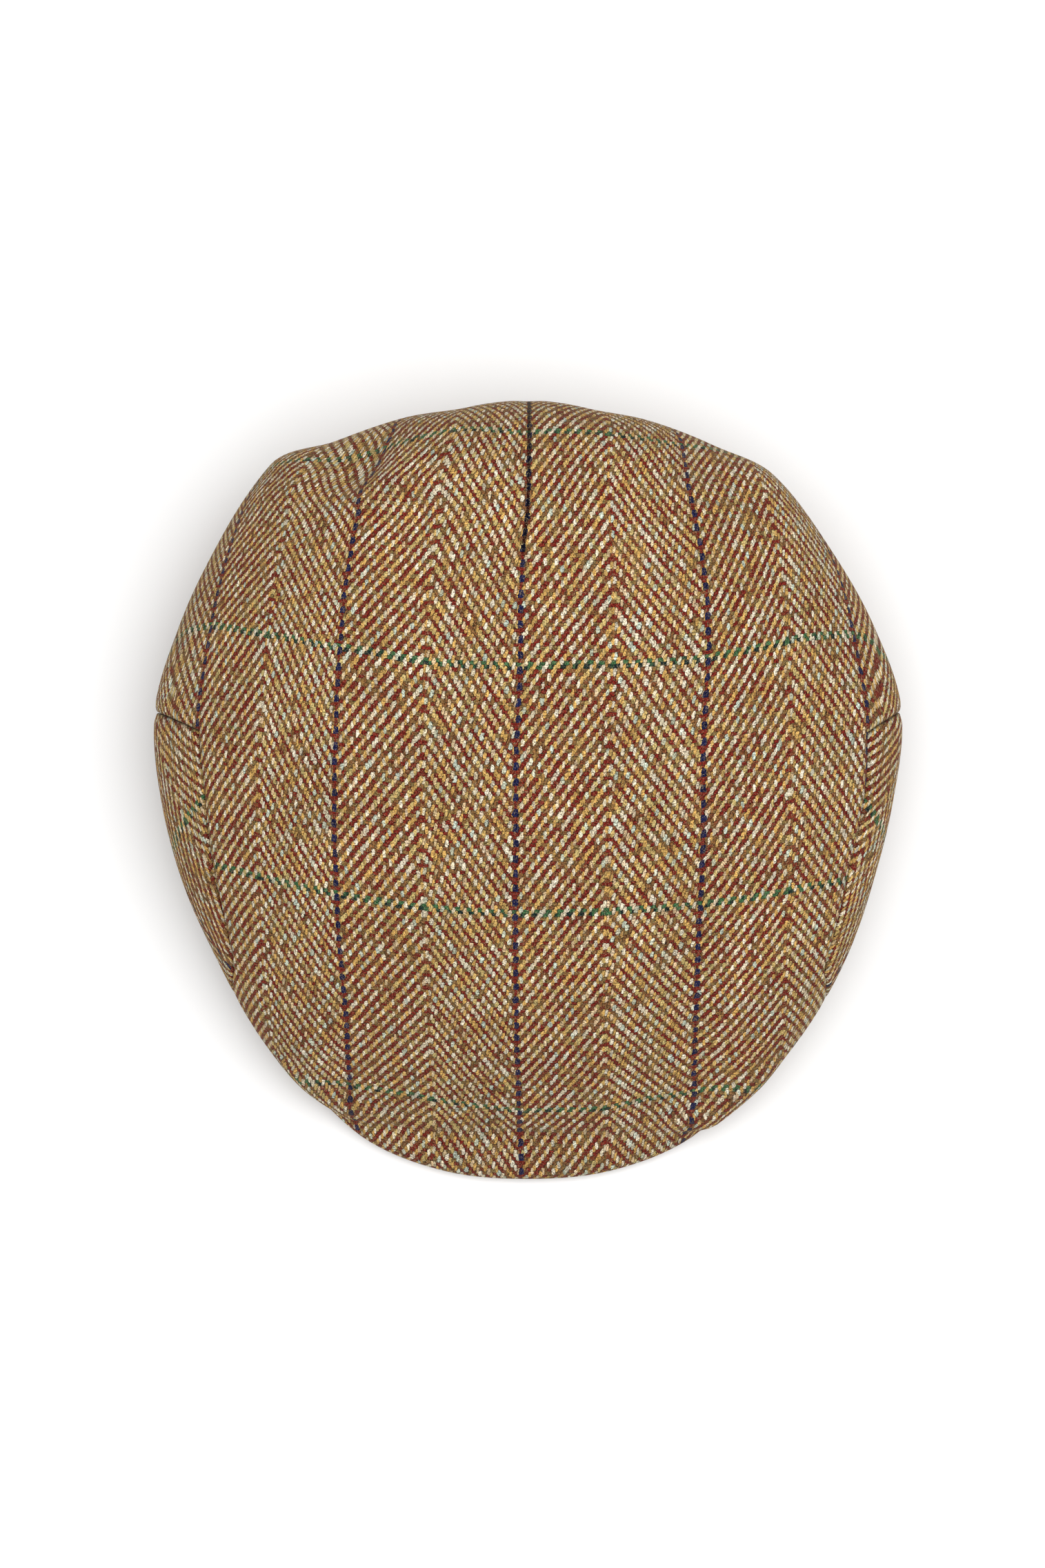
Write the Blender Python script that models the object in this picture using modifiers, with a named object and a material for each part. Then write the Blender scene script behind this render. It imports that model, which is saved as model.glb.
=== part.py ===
"""
Tweed flat cap, lying on a table as it lies by itself.

Metres, +Z up, peak towards -Y, origin under the middle of the cap on the table.
The cap is cloth on a stiff peak:
  top_panel         one piece of cloth from the back rim over the crown and on to the peak's edge
  side_panel_left   the wedge of cloth between the top panel and the rim, from temple to ear
  side_panel_right  the same on the other side
  peak              the board and its lower cloth, under the top panel's front

Every section of the crown is a meridian: it starts at the crown's centre, runs out over the dome to the
fold where the cap is widest, and turns from there to its lower edge. An azimuth of 0 degrees points to the
peak, 180 to the back, and positive azimuths lie on the +X side.
"""

import bpy
import bmesh
from functools import lru_cache
from math import copysign, cos, degrees, exp, pi, radians, sin, sqrt
from mathutils import Vector

# Head opening and cloth
head_length = 0.2050
head_width = 0.1630
cloth = 0.0020
seam_gap = 0.0003
hem_height = 0.0040

# Crown
crown_height = 0.1045
crown_overhang = 0.0436
fold_front_height = 0.0200
fold_back_height = 0.0550
crown_lean = 0.0040
crown_centre_forward = 0.0250
fold_depth = 0.36
broad_arc = 40.0

# Rim
rim_rise = 0.0290

# Peak
peak_reach = 0.0378
peak_wrap = 46.0
peak_board = 0.0025
peak_board_wrap = 0.93
peak_edge_height = 0.0042
peak_edge_round = 0.0006

# Side panels, in degrees of azimuth
seam_tip = 38.0
seam_corner = 82.5
seam_sweep = 4.0
seam_spread = 16.0
seam_inset = 0.0340
seam_cross = 0.20

# Mesh
column_step = 4.0
cross_columns = 5
dome_rows = 12
turn_rows = 8
lower_rows = 12
dome_focus = 0.6
knee_step = 34
peak_rows = 5
samples = 40

# One row for each azimuth. left and right: how far the fold stands out over the rim, as shares of
# crown_overhang. fold: height of the fold, as a share of the way from fold_front_height to
# fold_back_height. full and round: the two exponents of the dome, 2 and 2 for a quarter ellipse.
crown_table = [
    {"azimuth": 0, "left": 0.47, "right": 0.47, "fold": 0.03, "full": 1.70, "round": 1.25},
    {"azimuth": 15, "left": 0.66, "right": 0.68, "fold": -0.12, "full": 1.68, "round": 1.30},
    {"azimuth": 24, "left": 0.86, "right": 0.96, "fold": -0.18, "full": 1.62, "round": 1.60},
    {"azimuth": 30, "left": 0.915, "right": 0.955, "fold": -0.04, "full": 1.58, "round": 1.85},
    {"azimuth": 36, "left": 0.895, "right": 0.925, "fold": 0.08, "full": 1.54, "round": 1.95},
    {"azimuth": 48, "left": 0.87, "right": 0.92, "fold": 0.21, "full": 1.46, "round": 2.00},
    {"azimuth": 60, "left": 0.91, "right": 0.91, "fold": 0.35, "full": 1.42, "round": 2.00},
    {"azimuth": 72, "left": 0.955, "right": 0.94, "fold": 0.48, "full": 1.42, "round": 2.00},
    {"azimuth": 86, "left": 1.00, "right": 1.00, "fold": 0.59, "full": 1.50, "round": 2.00},
    {"azimuth": 100, "left": 0.92, "right": 0.895, "fold": 0.68, "full": 1.75, "round": 2.05},
    {"azimuth": 116, "left": 0.86, "right": 0.78, "fold": 0.77, "full": 2.10, "round": 2.20},
    {"azimuth": 131, "left": 0.85, "right": 0.725, "fold": 0.84, "full": 2.55, "round": 2.40},
    {"azimuth": 142, "left": 0.62, "right": 0.56, "fold": 0.90, "full": 2.85, "round": 2.50},
    {"azimuth": 156, "left": 0.46, "right": 0.43, "fold": 0.96, "full": 3.10, "round": 2.60},
    {"azimuth": 168, "left": 0.365, "right": 0.355, "fold": 0.99, "full": 3.18, "round": 2.60},
    {"azimuth": 180, "left": 0.36, "right": 0.36, "fold": 1.00, "full": 3.20, "round": 2.60},
]

# One row for each azimuth. rise: height of the rim, as a share of rim_rise. lean: how far the last of the
# cloth leans out of the vertical on its way down to the edge, in degrees. drop: how far the cloth falls
# straight down from the fold before it turns, as a share of the fold's height over the edge.
rim_table = [
    {"azimuth": 0, "rise": 1.00, "lean": 42, "drop": 0.16},
    {"azimuth": 16, "rise": 0.94, "lean": 40, "drop": 0.16},
    {"azimuth": 27, "rise": 0.83, "lean": 8, "drop": 0.30},
    {"azimuth": 36, "rise": 0.72, "lean": -20, "drop": 0.42},
    {"azimuth": 46, "rise": 0.60, "lean": -24, "drop": 0.42},
    {"azimuth": 60, "rise": 0.42, "lean": -20, "drop": 0.42},
    {"azimuth": 76, "rise": 0.24, "lean": -12, "drop": 0.42},
    {"azimuth": 92, "rise": 0.10, "lean": -5, "drop": 0.42},
    {"azimuth": 110, "rise": 0.00, "lean": 0, "drop": 0.42},
    {"azimuth": 180, "rise": 0.00, "lean": 0, "drop": 0.42},
]

# One row for each place along the peak. wrap: share of peak_wrap, from the middle to the corner. reach:
# share of peak_reach. lift: height of the peak's edge, as a share of the way up to the rim.
peak_table = [
    {"wrap": 0.00, "reach": 1.00, "lift": 0.00},
    {"wrap": 0.22, "reach": 1.03, "lift": 0.00},
    {"wrap": 0.42, "reach": 1.06, "lift": 0.02},
    {"wrap": 0.58, "reach": 1.01, "lift": 0.08},
    {"wrap": 0.70, "reach": 0.86, "lift": 0.20},
    {"wrap": 0.82, "reach": 0.60, "lift": 0.42},
    {"wrap": 0.92, "reach": 0.32, "lift": 0.70},
    {"wrap": 1.00, "reach": 0.00, "lift": 1.00},
]

# One row for each place along the side seam. along: share of the way from the tip to the corner. left and
# right: how far the seam lies inside the fold, as a share of seam_inset. under: how far it lies past the
# fold, as a share of the way from the fold to the lower edge.
seam_table = [
    {"along": 0.00, "left": 0.00, "right": 0.00, "under": 1.00},
    {"along": 0.06, "left": 0.00, "right": 0.00, "under": 0.42},
    {"along": 0.12, "left": 0.00, "right": 0.00, "under": 0.00},
    {"along": 0.20, "left": 0.46, "right": 0.48, "under": 0.00},
    {"along": 0.32, "left": 0.68, "right": 0.60, "under": 0.00},
    {"along": 0.55, "left": 0.88, "right": 0.71, "under": 0.00},
    {"along": 0.80, "left": 1.00, "right": 0.72, "under": 0.00},
    {"along": 1.00, "left": 1.01, "right": 0.79, "under": 0.00},
]

# Dents of the crown. azimuth: in degrees. out: place between the crown's centre and the fold. depth:
# share of crown_height. wide and long: across and along the meridian, as shares of crown_overhang.
dent_table = [
    {"name": "back dart", "azimuth": 180, "out": 0.93, "depth": 0.010, "wide": 0.08, "long": 0.50},
    {"name": "left pocket", "azimuth": -141, "out": 0.90, "depth": 0.070, "wide": 0.36, "long": 0.30},
    {"name": "right crease", "azimuth": 137, "out": 0.90, "depth": 0.028, "wide": 0.40, "long": 0.22},
]


def read_table(table, key, column, place):
    """Smooth value of a column at a place between the table's rows, never past the rows beside it."""
    rows = [row[key] for row in table]
    values = [row[column] for row in table]
    if place <= rows[0]:
        return values[0]
    if place >= rows[-1]:
        return values[-1]
    slopes = [(values[i + 1] - values[i]) / (rows[i + 1] - rows[i]) for i in range(len(rows) - 1)]
    tangents = [0.0]
    for before, after in zip(slopes, slopes[1:]):
        tangents.append(2 * before * after / (before + after) if before * after > 0 else 0.0)
    tangents.append(0.0)
    low = max(index for index in range(len(slopes)) if rows[index] <= place)
    span = rows[low + 1] - rows[low]
    t = (place - rows[low]) / span
    start = (1 + 2 * t) * (1 - t) ** 2 * values[low] + t * (1 - t) ** 2 * span * tangents[low]
    end = t * t * (3 - 2 * t) * values[low + 1] - t * t * (1 - t) * span * tangents[low + 1]
    return start + end


def crown_value(column, azimuth):
    """Value of the crown's table; the outline differs between left and right."""
    if column == "outline":
        column = "left" if azimuth < 0 else "right"
    return read_table(crown_table, "azimuth", column, abs(azimuth))


# The rim is an ellipse round the head, and the crown's centre lies behind its middle.
rim_half_length = head_length / 2 + cloth
rim_half_width = head_width / 2 + cloth
cap_length = head_length + 2 * cloth + peak_reach + crown_overhang * crown_value("outline", 180)
rim_middle_y = cap_length / 2 - crown_overhang * crown_value("outline", 180) - rim_half_length
crown_centre_y = rim_middle_y + crown_centre_forward
fold_slope = (fold_back_height - fold_front_height) / (cap_length - peak_reach / 2)


def rim_radius(azimuth):
    """Distance from the crown's centre to the rim's outer line."""
    across = sin(radians(azimuth)) / rim_half_width
    along = cos(radians(azimuth)) / rim_half_length
    offset = crown_centre_forward / rim_half_length
    a = across * across + along * along
    b = -2 * along * offset
    c = offset * offset - 1
    return (-b + sqrt(b * b - 4 * a * c)) / (2 * a)


def rim_value(column, azimuth):
    """Value of the rim's table."""
    return read_table(rim_table, "azimuth", column, abs(azimuth))


def rim_height(azimuth):
    """Height of the rim; it rests on the table behind the ears and rises to the forehead."""
    return rim_rise * rim_value("rise", azimuth)


def in_peak(azimuth):
    """Whether the peak reaches this azimuth."""
    return abs(azimuth) < peak_wrap


def peak_value(column, azimuth):
    """Value of the peak's table."""
    return read_table(peak_table, "wrap", column, abs(azimuth) / peak_wrap)


def edge_place(azimuth):
    """Radius and height of the cloth's lower edge: the peak's edge in front, the rim elsewhere."""
    radius = rim_radius(azimuth)
    height = rim_height(azimuth)
    if in_peak(azimuth):
        lift = peak_value("lift", azimuth)
        radius = radius + peak_reach * peak_value("reach", azimuth)
        height = peak_edge_height + (height - peak_edge_height) * lift
    return Vector((radius, height))


def fold_place(azimuth):
    """Radius and height of the fold, where the crown is widest."""
    radius = rim_radius(azimuth) + crown_overhang * crown_value("outline", azimuth)
    share = crown_value("fold", azimuth)
    height = fold_front_height + (fold_back_height - fold_front_height) * share
    return Vector((radius, height + crown_lean * sin(radians(azimuth))))


@lru_cache(maxsize=None)
def broad_values(azimuth):
    """Radius of the fold and the dome's two exponents, evened out over a wide arc."""
    turns = [signed(azimuth + turn) for turn in even(-broad_arc, broad_arc, 10)]
    radius = sum(fold_place(turn).x for turn in turns)
    full = sum(crown_value("full", turn) for turn in turns)
    rounding = sum(crown_value("round", turn) for turn in turns)
    return radius / len(turns), full / len(turns), rounding / len(turns)


def dome_place(azimuth, share):
    """Radius and height on the dome; share runs from 0 at the crown's centre to 1 at the fold.

    The middle of the dome follows the evened out values, and only its outer part the table's own.
    """
    fold = fold_place(azimuth)
    radius, full, rounding = broad_values(azimuth)
    outer = share ** 3
    radius = radius + (fold.x - radius) * outer
    full = full + (crown_value("full", azimuth) - full) * outer
    rounding = rounding + (crown_value("round", azimuth) - rounding) * outer
    centre_height = fold_front_height + fold_slope * (cap_length / 2 - peak_reach / 2 + crown_centre_y)
    plane_end = centre_height - fold_slope * fold.x * cos(radians(azimuth))
    plane = centre_height + (plane_end - centre_height) * share + (fold.y - plane_end) * share ** 3
    dome = crown_height - centre_height
    return Vector((radius * share, plane + dome * (1 - share ** full) ** (1 / rounding)))


@lru_cache(maxsize=None)
def meridian(azimuth):
    """Points (radius, height) of the cloth's outer face, from the crown's centre to its lower edge."""
    fold = fold_place(azimuth)
    edge = edge_place(azimuth)
    lean = radians(rim_value("lean", azimuth))
    hang = Vector((-sin(lean), cos(lean)))
    inward = max(fold.x - edge.x, 0.0)
    hem = edge + hang * min(hem_height, (fold - edge).length / 4)
    drop = Vector((0, -rim_value("drop", azimuth) * (fold.y - edge.y) - fold_depth * inward))
    handle = hem + hang * 0.35 * (fold - edge).length
    points = [dome_place(azimuth, sin(pi / 2 * step / samples)) for step in range(samples + 1)]
    for step in range(1, samples + 1):
        t = step / samples
        s = 1 - t
        turn = fold * s ** 3 + (fold + drop) * 3 * s * s * t + handle * 3 * s * t * t + hem * t ** 3
        points.append(turn)
    return points + [edge]


@lru_cache(maxsize=None)
def lengths_along(azimuth):
    """Distance along the cloth to each point of a meridian."""
    points = meridian(azimuth)
    totals = [0.0]
    for low, high in zip(points, points[1:]):
        totals.append(totals[-1] + (high - low).length)
    return totals


def step_at(azimuth, distance):
    """Step of a meridian, whole or between two of its points, at a distance along the cloth."""
    totals = lengths_along(azimuth)
    distance = min(max(distance, 0.0), totals[-1])
    low = max(index for index in range(len(totals) - 1) if totals[index] <= distance)
    return low + (distance - totals[low]) / (totals[low + 1] - totals[low])


def distance_at(azimuth, step):
    """Distance along the cloth to a step of a meridian."""
    totals = lengths_along(azimuth)
    low = min(int(step), len(totals) - 2)
    return totals[low] + (totals[low + 1] - totals[low]) * (step - low)


def dome_steps(azimuth, last):
    """Steps of the rows from the crown's centre out to the last one, closer together near the fold."""
    distance = distance_at(azimuth, last)
    steps = even(0, last, dome_rows)[1:]
    spaced = [step_at(azimuth, place) for place in even(0, distance, dome_rows)[1:]]
    return [step * dome_focus + place * (1 - dome_focus) for step, place in zip(steps, spaced)]


def lower_steps(azimuth, seam, end, rows):
    """Steps of the rows from the seam down to the hem, and of the lower edge."""
    hem = min(hem_height, (end - seam) / 4)
    return even(step_at(azimuth, seam), step_at(azimuth, end - hem), rows) + [step_at(azimuth, end)]


def turned(azimuth, place):
    """World point of a radius and height at an azimuth."""
    angle = radians(azimuth)
    return Vector((place.x * sin(angle), crown_centre_y - place.x * cos(angle), place.y))


def dented(point):
    """Point of the crown pressed in towards the crown's middle by the dents near it."""
    heart = Vector((0, crown_centre_y, fold_back_height))
    for dent in dent_table:
        centre = turned(dent["azimuth"], dome_place(dent["azimuth"], dent["out"]))
        outward = Vector((centre.x, centre.y - crown_centre_y, 0)).normalized()
        sideways = Vector((-outward.y, outward.x, 0))
        offset = point - centre
        across = offset.dot(sideways) / (crown_overhang * dent["wide"])
        along = (offset - sideways * offset.dot(sideways)).length / (crown_overhang * dent["long"])
        press = crown_height * dent["depth"] * exp(-across * across - along * along)
        point = point - (point - heart).normalized() * press
    return point


def cloth_point(azimuth, step):
    """World point of the outer face at a step of a meridian."""
    points = meridian(azimuth)
    low = min(max(int(step), 0), len(points) - 2)
    return dented(turned(azimuth, points[low].lerp(points[low + 1], step - low)))


def cloth_outward(azimuth, step):
    """Direction in which the outer face looks."""
    if step < 0.5:
        return Vector((0, 0, 1))
    turn = 0.25
    across = cloth_point(signed(azimuth + turn), step) - cloth_point(signed(azimuth - turn), step)
    along = cloth_point(azimuth, step) - cloth_point(azimuth, step - turn)
    return along.cross(across).normalized()


def signed(azimuth):
    """Azimuth between -180 and 180 degrees."""
    return (azimuth + 180) % 360 - 180


def seam_distance(azimuth):
    """Distance along the cloth to the side seam, and to the lower edge where there is no side seam."""
    totals = lengths_along(azimuth)
    along = (abs(azimuth) - seam_tip) / (seam_corner - seam_tip)
    if along <= 0:
        return totals[-1]
    inset = seam_inset * read_table(seam_table, "along", "left" if azimuth < 0 else "right", along)
    under = read_table(seam_table, "along", "under", along)
    return totals[samples] - inset + (totals[-1] - totals[samples]) * under


def swept(azimuth, step):
    """Azimuth of a place, further back where the cloth follows the short leg of the side seam."""
    near = 1 - abs(abs(azimuth) - seam_corner) / seam_spread
    if near <= 0:
        return azimuth
    seam = seam_distance(azimuth)
    share = (distance_at(azimuth, step) - seam) / (lengths_along(azimuth)[samples] - seam)
    share = min(max(share, 0.0), 1.0)
    return azimuth + copysign(seam_sweep * near * share * (2 - share), azimuth)


def seam_half_gap(azimuth):
    """Half of the seam's gap, measured along the meridian; more where the seam runs steeply."""
    turn = 0.5
    across = fold_place(azimuth).x * radians(2 * turn)
    slope = (seam_distance(azimuth + turn) - seam_distance(azimuth - turn)) / across
    return seam_gap / 2 * sqrt(1 + slope * slope)


def even(start, end, count):
    """Numbers from start to end in even steps."""
    return [start + (end - start) * step / count for step in range(count + 1)]


def columns_between(start, end):
    """Azimuths from start to end, about column_step apart."""
    return even(start, end, max(1, round((end - start) / column_step)))


def seam_columns(gap):
    """Azimuths of the side seam's columns, closer together where the seam crosses the fold."""
    cross = seam_tip + (seam_corner - seam_tip) * seam_cross
    along = even(seam_tip, cross, cross_columns)[:-1] + columns_between(cross, seam_corner)[:-1]
    return along + [seam_corner + gap]


def add_object(name, surface, colour, collection):
    """Object of a bmesh, with its own matt cloth material."""
    mesh = bpy.data.meshes.new(name)
    surface.to_mesh(mesh)
    surface.free()
    material = bpy.data.materials.new(name)
    material.use_nodes = True
    shader = material.node_tree.nodes["Principled BSDF"]
    shader.inputs["Base Color"].default_value = (*colour, 1.0)
    shader.inputs["Roughness"].default_value = 0.95
    shader.inputs["Metallic"].default_value = 0.0
    mesh.materials.append(material)
    mesh.shade_smooth()
    mesh.set_sharp_from_angle(angle=radians(40))
    result = bpy.data.objects.new(name, mesh)
    collection.objects.link(result)
    return result


def add_column(surface, outward, azimuth, steps):
    """Points of the outer face down one meridian, each with the direction in which the cloth looks."""
    column = []
    for step in steps:
        place = swept(azimuth, step)
        column.append(surface.verts.new(cloth_point(place, step)))
        outward[column[-1]] = cloth_outward(place, step)
    return column


def add_strip(surface, low, high):
    """Faces between two neighbouring columns, from the first row on."""
    for row in range(min(len(low), len(high)) - 1):
        corners = list(dict.fromkeys([low[row], low[row + 1], high[row + 1], high[row]]))
        if len(corners) > 2:
            surface.faces.new(corners)


def add_inner_face(surface, outward):
    """Wall of even thickness: the outer face again, one cloth further in, and the edges between them."""
    bmesh.ops.triangulate(surface, faces=list(surface.faces), quad_method="SHORT_EDGE")
    outer_faces = list(surface.faces)
    open_edges = [edge for edge in surface.edges if edge.is_boundary]
    loops = [(edge.link_loops[0].vert, edge.link_loops[0].link_loop_next.vert) for edge in open_edges]
    inner = {point: surface.verts.new(point.co - normal * cloth) for point, normal in outward.items()}
    for face in outer_faces:
        surface.faces.new([inner[point] for point in reversed(face.verts)])
    for first, second in loops:
        surface.faces.new([second, first, inner[first], inner[second]])
    bmesh.ops.triangulate(surface, faces=list(surface.faces), quad_method="SHORT_EDGE")


def build_top_panel(collection, colour):
    """Cloth from the crown's centre out to the peak's edge, the side seams and the back rim."""
    gap_angle = degrees(seam_gap / 2 / rim_radius(90))
    right = seam_columns(gap_angle)
    left = [-azimuth for azimuth in right[::-1]]
    azimuths = (left[:-1] + columns_between(-seam_tip, seam_tip)[:-1] + right[:-1]
                + columns_between(right[-1], 360 + left[0])[:-1])
    surface = bmesh.new()
    pole = surface.verts.new(cloth_point(0, 0))
    outward = {pole: cloth_outward(0, 0)}
    columns = []
    for azimuth in azimuths:
        whole = azimuth >= right[-1] or azimuth == left[0]
        azimuth = signed(azimuth)
        end = lengths_along(azimuth)[-1]
        seam = seam_distance(azimuth)
        seam = seam - seam_half_gap(azimuth) if seam < end else end
        last = step_at(azimuth, seam)
        knee = last if last < knee_step + 3 else knee_step
        column = [pole] + add_column(surface, outward, azimuth, dome_steps(azimuth, knee))
        if knee == last:
            column = column + [column[-1]] * turn_rows
        else:
            column = column + add_column(surface, outward, azimuth, even(knee, last, turn_rows)[1:])
        if whole:
            steps = lower_steps(azimuth, seam, end, lower_rows)[1:]
            column = column + add_column(surface, outward, azimuth, steps)
        columns.append(column)
    for low, high in zip(columns, columns[1:] + columns[:1]):
        add_strip(surface, low, high)
    add_inner_face(surface, outward)
    return add_object("top_panel", surface, colour, collection)


def build_side_panel(name, side, collection, colour):
    """Wedge of cloth between the side seam and the lower edge, from a point at the temple to the ear."""
    gap_angle = degrees(seam_gap / 2 / rim_radius(90))
    azimuths = [side * azimuth for azimuth in seam_columns(-gap_angle)[1:]]
    tip_azimuth = side * (seam_tip + 4 * gap_angle)
    tip_step = len(meridian(tip_azimuth)) - 1
    surface = bmesh.new()
    tip = surface.verts.new(cloth_point(tip_azimuth, tip_step))
    outward = {tip: cloth_outward(tip_azimuth, tip_step)}
    columns = [[tip] * (lower_rows + 2)]
    for azimuth in azimuths:
        seam = seam_distance(azimuth) + seam_half_gap(azimuth)
        steps = lower_steps(azimuth, seam, lengths_along(azimuth)[-1], lower_rows)
        columns.append(add_column(surface, outward, azimuth, steps))
    columns = columns[::side]
    for low, high in zip(columns, columns[1:]):
        add_strip(surface, low, high)
    add_inner_face(surface, outward)
    return add_object(name, surface, colour, collection)


def build_peak(collection, colour):
    """Board and lower cloth of the peak, from the forehead to the edge, one gap under the top panel."""
    surface = bmesh.new()
    columns = []
    for azimuth in columns_between(-peak_wrap * peak_board_wrap, peak_wrap * peak_board_wrap):
        last = len(meridian(azimuth)) - 1
        front = cloth_point(azimuth, last) - cloth_outward(azimuth, last) * (cloth + seam_gap)
        back = turned(azimuth, Vector((rim_radius(azimuth), rim_height(azimuth) + peak_board)))
        columns.append([surface.verts.new(back.lerp(front, row / peak_rows)) for row in range(peak_rows + 1)])
    for low, high in zip(columns, columns[1:]):
        add_strip(surface, low, high)
    peak = add_object("peak", surface, colour, collection)
    board = peak.modifiers.new("board", "SOLIDIFY")
    board.thickness = peak_board
    board.offset = -1.0
    board.use_even_offset = True
    rounding = peak.modifiers.new("rounding", "BEVEL")
    rounding.width = peak_edge_round
    rounding.segments = 2
    rounding.limit_method = "ANGLE"
    rounding.angle_limit = radians(50)
    return peak


def build_cap():
    """All four pieces in one collection."""
    collection = bpy.data.collections.new("flat_cap")
    bpy.context.scene.collection.children.link(collection)
    tweed = (0.35, 0.22, 0.11)
    build_top_panel(collection, tweed)
    build_side_panel("side_panel_left", -1, collection, tweed)
    build_side_panel("side_panel_right", 1, collection, tweed)
    build_peak(collection, tweed)


for old in list(bpy.data.objects):
    bpy.data.objects.remove(old, do_unlink=True)
build_cap()
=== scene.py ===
"""Tweed flat cap on a pale table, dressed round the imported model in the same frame.

Metres, +Z up, peak towards -Y. An azimuth of 0 degrees points to the peak, 180 to the back, and
positive azimuths lie on the +X side, as seen from above with the peak towards the viewer.
"""
from functools import lru_cache
from math import copysign, cos, degrees, exp, hypot, pi, radians, sin, sqrt

import bmesh
import bpy
import numpy as np
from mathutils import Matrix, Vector


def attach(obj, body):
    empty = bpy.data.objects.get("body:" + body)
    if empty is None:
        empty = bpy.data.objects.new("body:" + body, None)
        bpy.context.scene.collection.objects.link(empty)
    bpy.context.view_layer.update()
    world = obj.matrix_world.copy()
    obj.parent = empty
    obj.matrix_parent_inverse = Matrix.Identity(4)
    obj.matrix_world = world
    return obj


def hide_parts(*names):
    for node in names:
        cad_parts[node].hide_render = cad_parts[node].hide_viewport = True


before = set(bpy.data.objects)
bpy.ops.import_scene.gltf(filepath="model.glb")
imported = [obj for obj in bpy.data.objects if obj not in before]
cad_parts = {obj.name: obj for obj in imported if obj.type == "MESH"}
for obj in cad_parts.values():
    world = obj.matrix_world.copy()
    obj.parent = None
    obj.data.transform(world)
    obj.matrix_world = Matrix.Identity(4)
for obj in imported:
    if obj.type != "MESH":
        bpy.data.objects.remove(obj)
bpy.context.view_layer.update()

# Top panel: one piece of coarse wool herringbone that runs from the back rim over the crown and on to
# the peak's edge. It is cut whole, eased over the crown with a dart at the centre back, and sewn to the
# side panels along seams that are pressed open inside.
head_length = 0.2050
head_width = 0.1630
# thickness of the cloth, and the gap left along a seam
cloth = 0.0020
seam_gap = 0.0003
# crown: its height, how far its fold stands out over the rim, and how the cloth turns in under the fold
crown_height = 0.1045
crown_overhang = 0.0436
fold_front_height = 0.0200
fold_back_height = 0.0550
crown_lean = 0.0040
crown_centre_forward = 0.0250
fold_depth = 0.36
broad_arc = 40.0
hem_height = 0.0040
hem_share = 0.25
hem_pull = 0.35
# rim and peak: rise of the rim in front, and reach, width in degrees and height of the peak's edge
rim_rise = 0.0290
peak_reach = 0.0378
peak_wrap = 46.0
peak_edge_height = 0.0042
# side seam: azimuths of its tip and its rear corner, slant of its short leg, and depth of the panel under it
seam_tip = 38.0
seam_corner = 82.5
seam_sweep = 4.0
seam_spread = 16.0
seam_inset = 0.0340
# samples of the dome and of its turn under it, and those of a broad arc
samples = 40
broad_steps = 10
# steps in degrees and metres that feel which way the cloth looks, and the flat middle of the crown
feel_turn = 0.25
feel_step = 0.0008
flat_middle = 0.001

# azimuth: fold's reach over the rim left and right, height of the fold, fullness and rounding of the dome
crown_table = [
    (0, 0.47, 0.47, 0.03, 1.70, 1.25), (15, 0.66, 0.68, -0.12, 1.68, 1.30),
    (24, 0.88, 0.95, -0.18, 1.62, 1.60), (30, 0.915, 0.950, -0.04, 1.58, 1.85),
    (36, 0.895, 0.925, 0.08, 1.54, 1.95), (48, 0.87, 0.92, 0.21, 1.46, 2.00),
    (60, 0.91, 0.91, 0.35, 1.42, 2.00), (72, 0.955, 0.94, 0.48, 1.42, 2.00),
    (86, 1.00, 1.00, 0.59, 1.50, 2.00), (100, 0.92, 0.895, 0.68, 1.75, 2.05),
    (116, 0.86, 0.78, 0.77, 2.10, 2.20), (131, 0.85, 0.725, 0.84, 2.55, 2.40),
    (142, 0.62, 0.56, 0.90, 2.85, 2.50), (156, 0.46, 0.43, 0.96, 3.10, 2.60),
    (168, 0.365, 0.355, 0.99, 3.18, 2.60), (180, 0.36, 0.36, 1.00, 3.20, 2.60),
]
left_reach, right_reach, fold_rise, fullness, rounding = 1, 2, 3, 4, 5
# azimuth: rise of the rim, lean of the cloth at its lower edge in degrees, drop below the fold
rim_table = [
    (0, 1.00, 42, 0.16), (16, 0.94, 40, 0.16), (27, 0.83, 8, 0.30), (36, 0.72, -20, 0.42),
    (46, 0.60, -24, 0.42), (60, 0.42, -20, 0.42), (76, 0.24, -12, 0.42), (92, 0.10, -5, 0.42),
    (110, 0.00, 0, 0.42), (180, 0.00, 0, 0.42),
]
rim_lift, rim_lean, rim_drop = 1, 2, 3
# share of the peak's wrap: its reach and the lift of its edge
peak_table = [
    (0.00, 1.033, 0.00), (0.22, 1.072, 0.00), (0.42, 1.105, 0.02), (0.58, 1.035, 0.08),
    (0.70, 0.87, 0.20), (0.82, 0.60, 0.42), (0.92, 0.32, 0.70), (1.00, 0.00, 1.00),
]
edge_reach, edge_lift = 1, 2
# share of the way along the side seam: inset from the fold left and right, and how far it lies under it
seam_table = [
    (0.00, 0.00, 0.00, 1.00), (0.06, 0.00, 0.00, 0.42), (0.12, 0.00, 0.00, 0.00), (0.20, 0.46, 0.48, 0.00),
    (0.32, 0.68, 0.60, 0.00), (0.55, 0.88, 0.71, 0.00), (0.80, 1.00, 0.72, 0.00), (1.00, 1.01, 0.79, 0.00),
]
left_inset, right_inset, under_fold = 1, 2, 3
# Dents: azimuth, place out from the crown's centre, depth as a share of the crown's height, width and
# length as shares of the overhang
dent_table = [
    (180, 0.93, 0.010, 0.08, 0.50),
    (-141, 0.90, 0.070, 0.36, 0.30),
    (137, 0.90, 0.028, 0.40, 0.22),
]


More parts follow.
